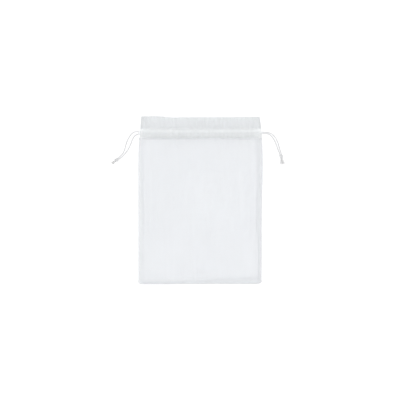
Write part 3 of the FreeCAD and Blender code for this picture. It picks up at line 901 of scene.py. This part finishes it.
def pucker(x, y):
    """Small nips where the cord has drawn the channel up a little."""
    out = 0
    for at, width, height, lean in ((-38.4, 1.5, 0.85, 0.10), (17.0, 2.4, 0.28, -0.05), (66.0, 2.0, 0.32, 0.08), (-78.0, 2.2, 0.3, -0.04)):
        out = out + height * np.exp(-(((x - at - lean * (y - 120)) / width) ** 2))
    return out


for side, word in SIDES:
    s, v = np.meshgrid(COLS, CH_ROWS)
    y = STITCH_LOW + v * (STITCH_HIGH - STITCH_LOW)
    x = side * s * edge(side, y)
    crest = 118.7 + 1.5 * ease((np.abs(x) - 93) / 9)
    arch = ease(v / 0.12) * ease((8.3 - np.abs(y - crest)) / 6.7)
    z = front_z(x, y) + arch * (2.70 + 0.40 * ease((np.abs(x) - 90) / 8) + 0.20 * gathers(x, y) + 0.12 * field(settle(x), y, 40, 20, 61)) + ease(v / 0.3) * ease((1 - v) / 0.3) * pucker(x, y)
    z = z - 0.34 * np.exp(-(((y - 120.0) / 0.55) ** 2)) * ease((x - 62) / 8) * ease((106.5 - x) / 4)
    outer = cloth_piece(
        "front_channel_%s_half" % word, side, (x, y), z, 0.35, channel_cloth, False,
        ["front_channel_outer"],
    )
    s, v = np.meshgrid(COLS * 0.955, np.linspace(0, 1, 22))
    y = STITCH_LOW - 3.6 + v * (STITCH_HIGH - STITCH_LOW + 3.4)
    x = side * s * edge(side, y)
    z = front_z(x, y) - 0.42 - 0.15 * ease(v)
    z = z - 0.80 * ease((y - 113.5) / 2.5) * ease((127.8 - y) / 2.5)  # hangs clear of the cords
    cloth_piece(
        "front_channel_lining_%s_half" % word, side, (x, y), z, 0.3, lining_cloth, False,
        ["front_channel_inner"],
    )
    # Back: flat outside on the table, arched over the cords inside.
    s, v = np.meshgrid(COLS, np.linspace(0, 1, 12))
    y = STITCH_LOW + v * (STITCH_HIGH - STITCH_LOW)
    x = side * s * edge(side, y)
    cloth_piece(
        "back_channel_%s_half" % word, side, (x, y), back_z(x, y), 0.35, lining_cloth, False,
        ["back_channel_outer"],
    )
    s, v = np.meshgrid(COLS * 0.90, np.linspace(0, 1, 34))
    y = STITCH_LOW - 3.6 + v * (STITCH_HIGH - STITCH_LOW + 3.4)
    x = side * s * edge(side, y)
    w = (y - STITCH_LOW) / (STITCH_HIGH - STITCH_LOW)
    arch = ease(w / 0.34) * ease((1 - w) / 0.30)
    z = back_z(x, y) + 0.40 + arch * (2.55 + 0.22 * gathers(x, y))
    cloth_piece(
        "back_channel_lining_%s_half" % word, side, (x, y), z, 0.3, lining_cloth, False,
        ["back_channel_inner"],
    )
    # The ruffle: doubled cloth above the channel, open at the mouth and sides.
    s, v = np.meshgrid(COLS, np.linspace(0, 1, 36))
    top = top_y(side * s * 107.0)
    y = STITCH_HIGH + v * (top - STITCH_HIGH)
    x = side * s * edge(side, y)

    def ruffle_front(x, y):
        w = np.clip((y - STITCH_HIGH) / (MOUTH - STITCH_HIGH), 0, 1.1)
        d = near_edge(x, y)
        z = front_z(x, y) - 0.15
        z = z + 0.42 * gathers(x * 1.0, y) * (0.45 + 0.55 * w) * np.exp(-w * 0.7)
        z = z + 0.42 * w * field(settle(x), y, 42, 60, 71)
        return z - 2.1 * ease(1 - d / 34.0) * ease((w - 0.1) / 0.9)

    def ruffle_back(x, y):
        w = np.clip((y - STITCH_HIGH) / (MOUTH - STITCH_HIGH), 0, 1.1)
        return 0.40 + (0.10 + 0.30 * w) * (1 + field(settle(x), y, 30, 60, 72)).clip(0, 2.5) + 0.5 * w ** 3

    front = cloth_piece(
        "front_ruffle_%s_half" % word, side, (x, y), ruffle_front(x, y), 0.7, double_cloth, False,
        ["front_header"],
    )
    back = cloth_piece(
        "back_ruffle_%s_half" % word, side, (x, y), ruffle_back(x, y), 0.7, double_cloth, False,
        ["back_header"],
    )
    # Narrow hems turned in along the ruffle's open sides.
    for face, ruffle, fn, lift in (
        ("front", front, ruffle_front, -0.62), ("back", back, ruffle_back, 0.62),
    ):
        c, yy = np.meshgrid(np.linspace(0, 1, 7), np.linspace(STITCH_HIGH + 0.4, MOUTH - 0.4, 30))
        xx = side * (edge(side, yy) - 0.60 - c * (2.7 + 0.2 * field(yy, 0 * yy, 9, 9, 81)))
        hem = skin("%s_%s_turned_hem" % (face, word), xx, yy, fn(xx, yy) + lift, 0.45)
        dress(hem, hem_cloth, "mesh_cloth", "%s_%s_slit_hem" % (face, word))
        follow(hem, side, False)

    # Stitching rows, one short thread after another.
    def stitch_row(name, node, y0, surface, sewn, reach=104.5, lift=0.12):
        parts = []
        pitch, length = 2.75, 2.0
        rng = np.random.RandomState(90 + side)
        for k in range(int(reach / pitch)):
            a = 0.45 + k * pitch
            u = np.linspace(0, 1, 6)
            px = side * (a + u * length)
            py = y0 + 0.12 * math.sin(k * 0.9) + rng.normal(0, 0.04) + 0.10 * (u - 0.5)
            py = np.broadcast_to(py, px.shape)
            pz = surface(px, py) + lift - 0.26 * (2 * u - 1) ** 4
            parts.append(tube_parts(np.stack([px, py, pz], 1), 0.19, 6))
        row = joined(name, parts)
        dress(row, thread_white, "thread", node)
        follow(row, side, sewn)

    stitch_row("front_upper_stitches_" + word, "front_upper_stitching", 129.35, lambda x, y: ruffle_front(x, y) + 0.36, False)
    stitch_row("front_lower_stitches_" + word, "front_lower_stitching", 111.75, lambda x, y: front_z(x, y) + 0.19, True, 106.0)
    stitch_row("back_upper_stitches_" + word, "back_upper_stitching", 129.35, lambda x, y: ruffle_back(x, y) + 0.36, False)
    stitch_row("back_lower_stitches_" + word, "back_lower_stitching", 110.6, lambda x, y: back_z(x, y) + 0.60, True, 97.0)

    # Bartack: a dense bar of thread round the edge where the slit begins.
    parts = []
    for k in range(9):
        yb = 108.4 + k * 0.42
        a = np.linspace(-1.0, 1.0, 9)
        ex = float(edge(side, np.array(yb)))
        px = side * (ex - 2.3 * np.abs(a) ** 1.6 + 0.10)
        pz = 3.55 + 1.15 * a + 0.25 * a * np.abs(a)
        parts.append(tube_parts(np.stack([px, yb + 0.18 * a, pz], 1), 0.17, 6))
    tack = joined(word + "_bartack_threads", parts)
    dress(tack, tack_white, "thread", word + "_bartack")
    follow(tack, side, True)
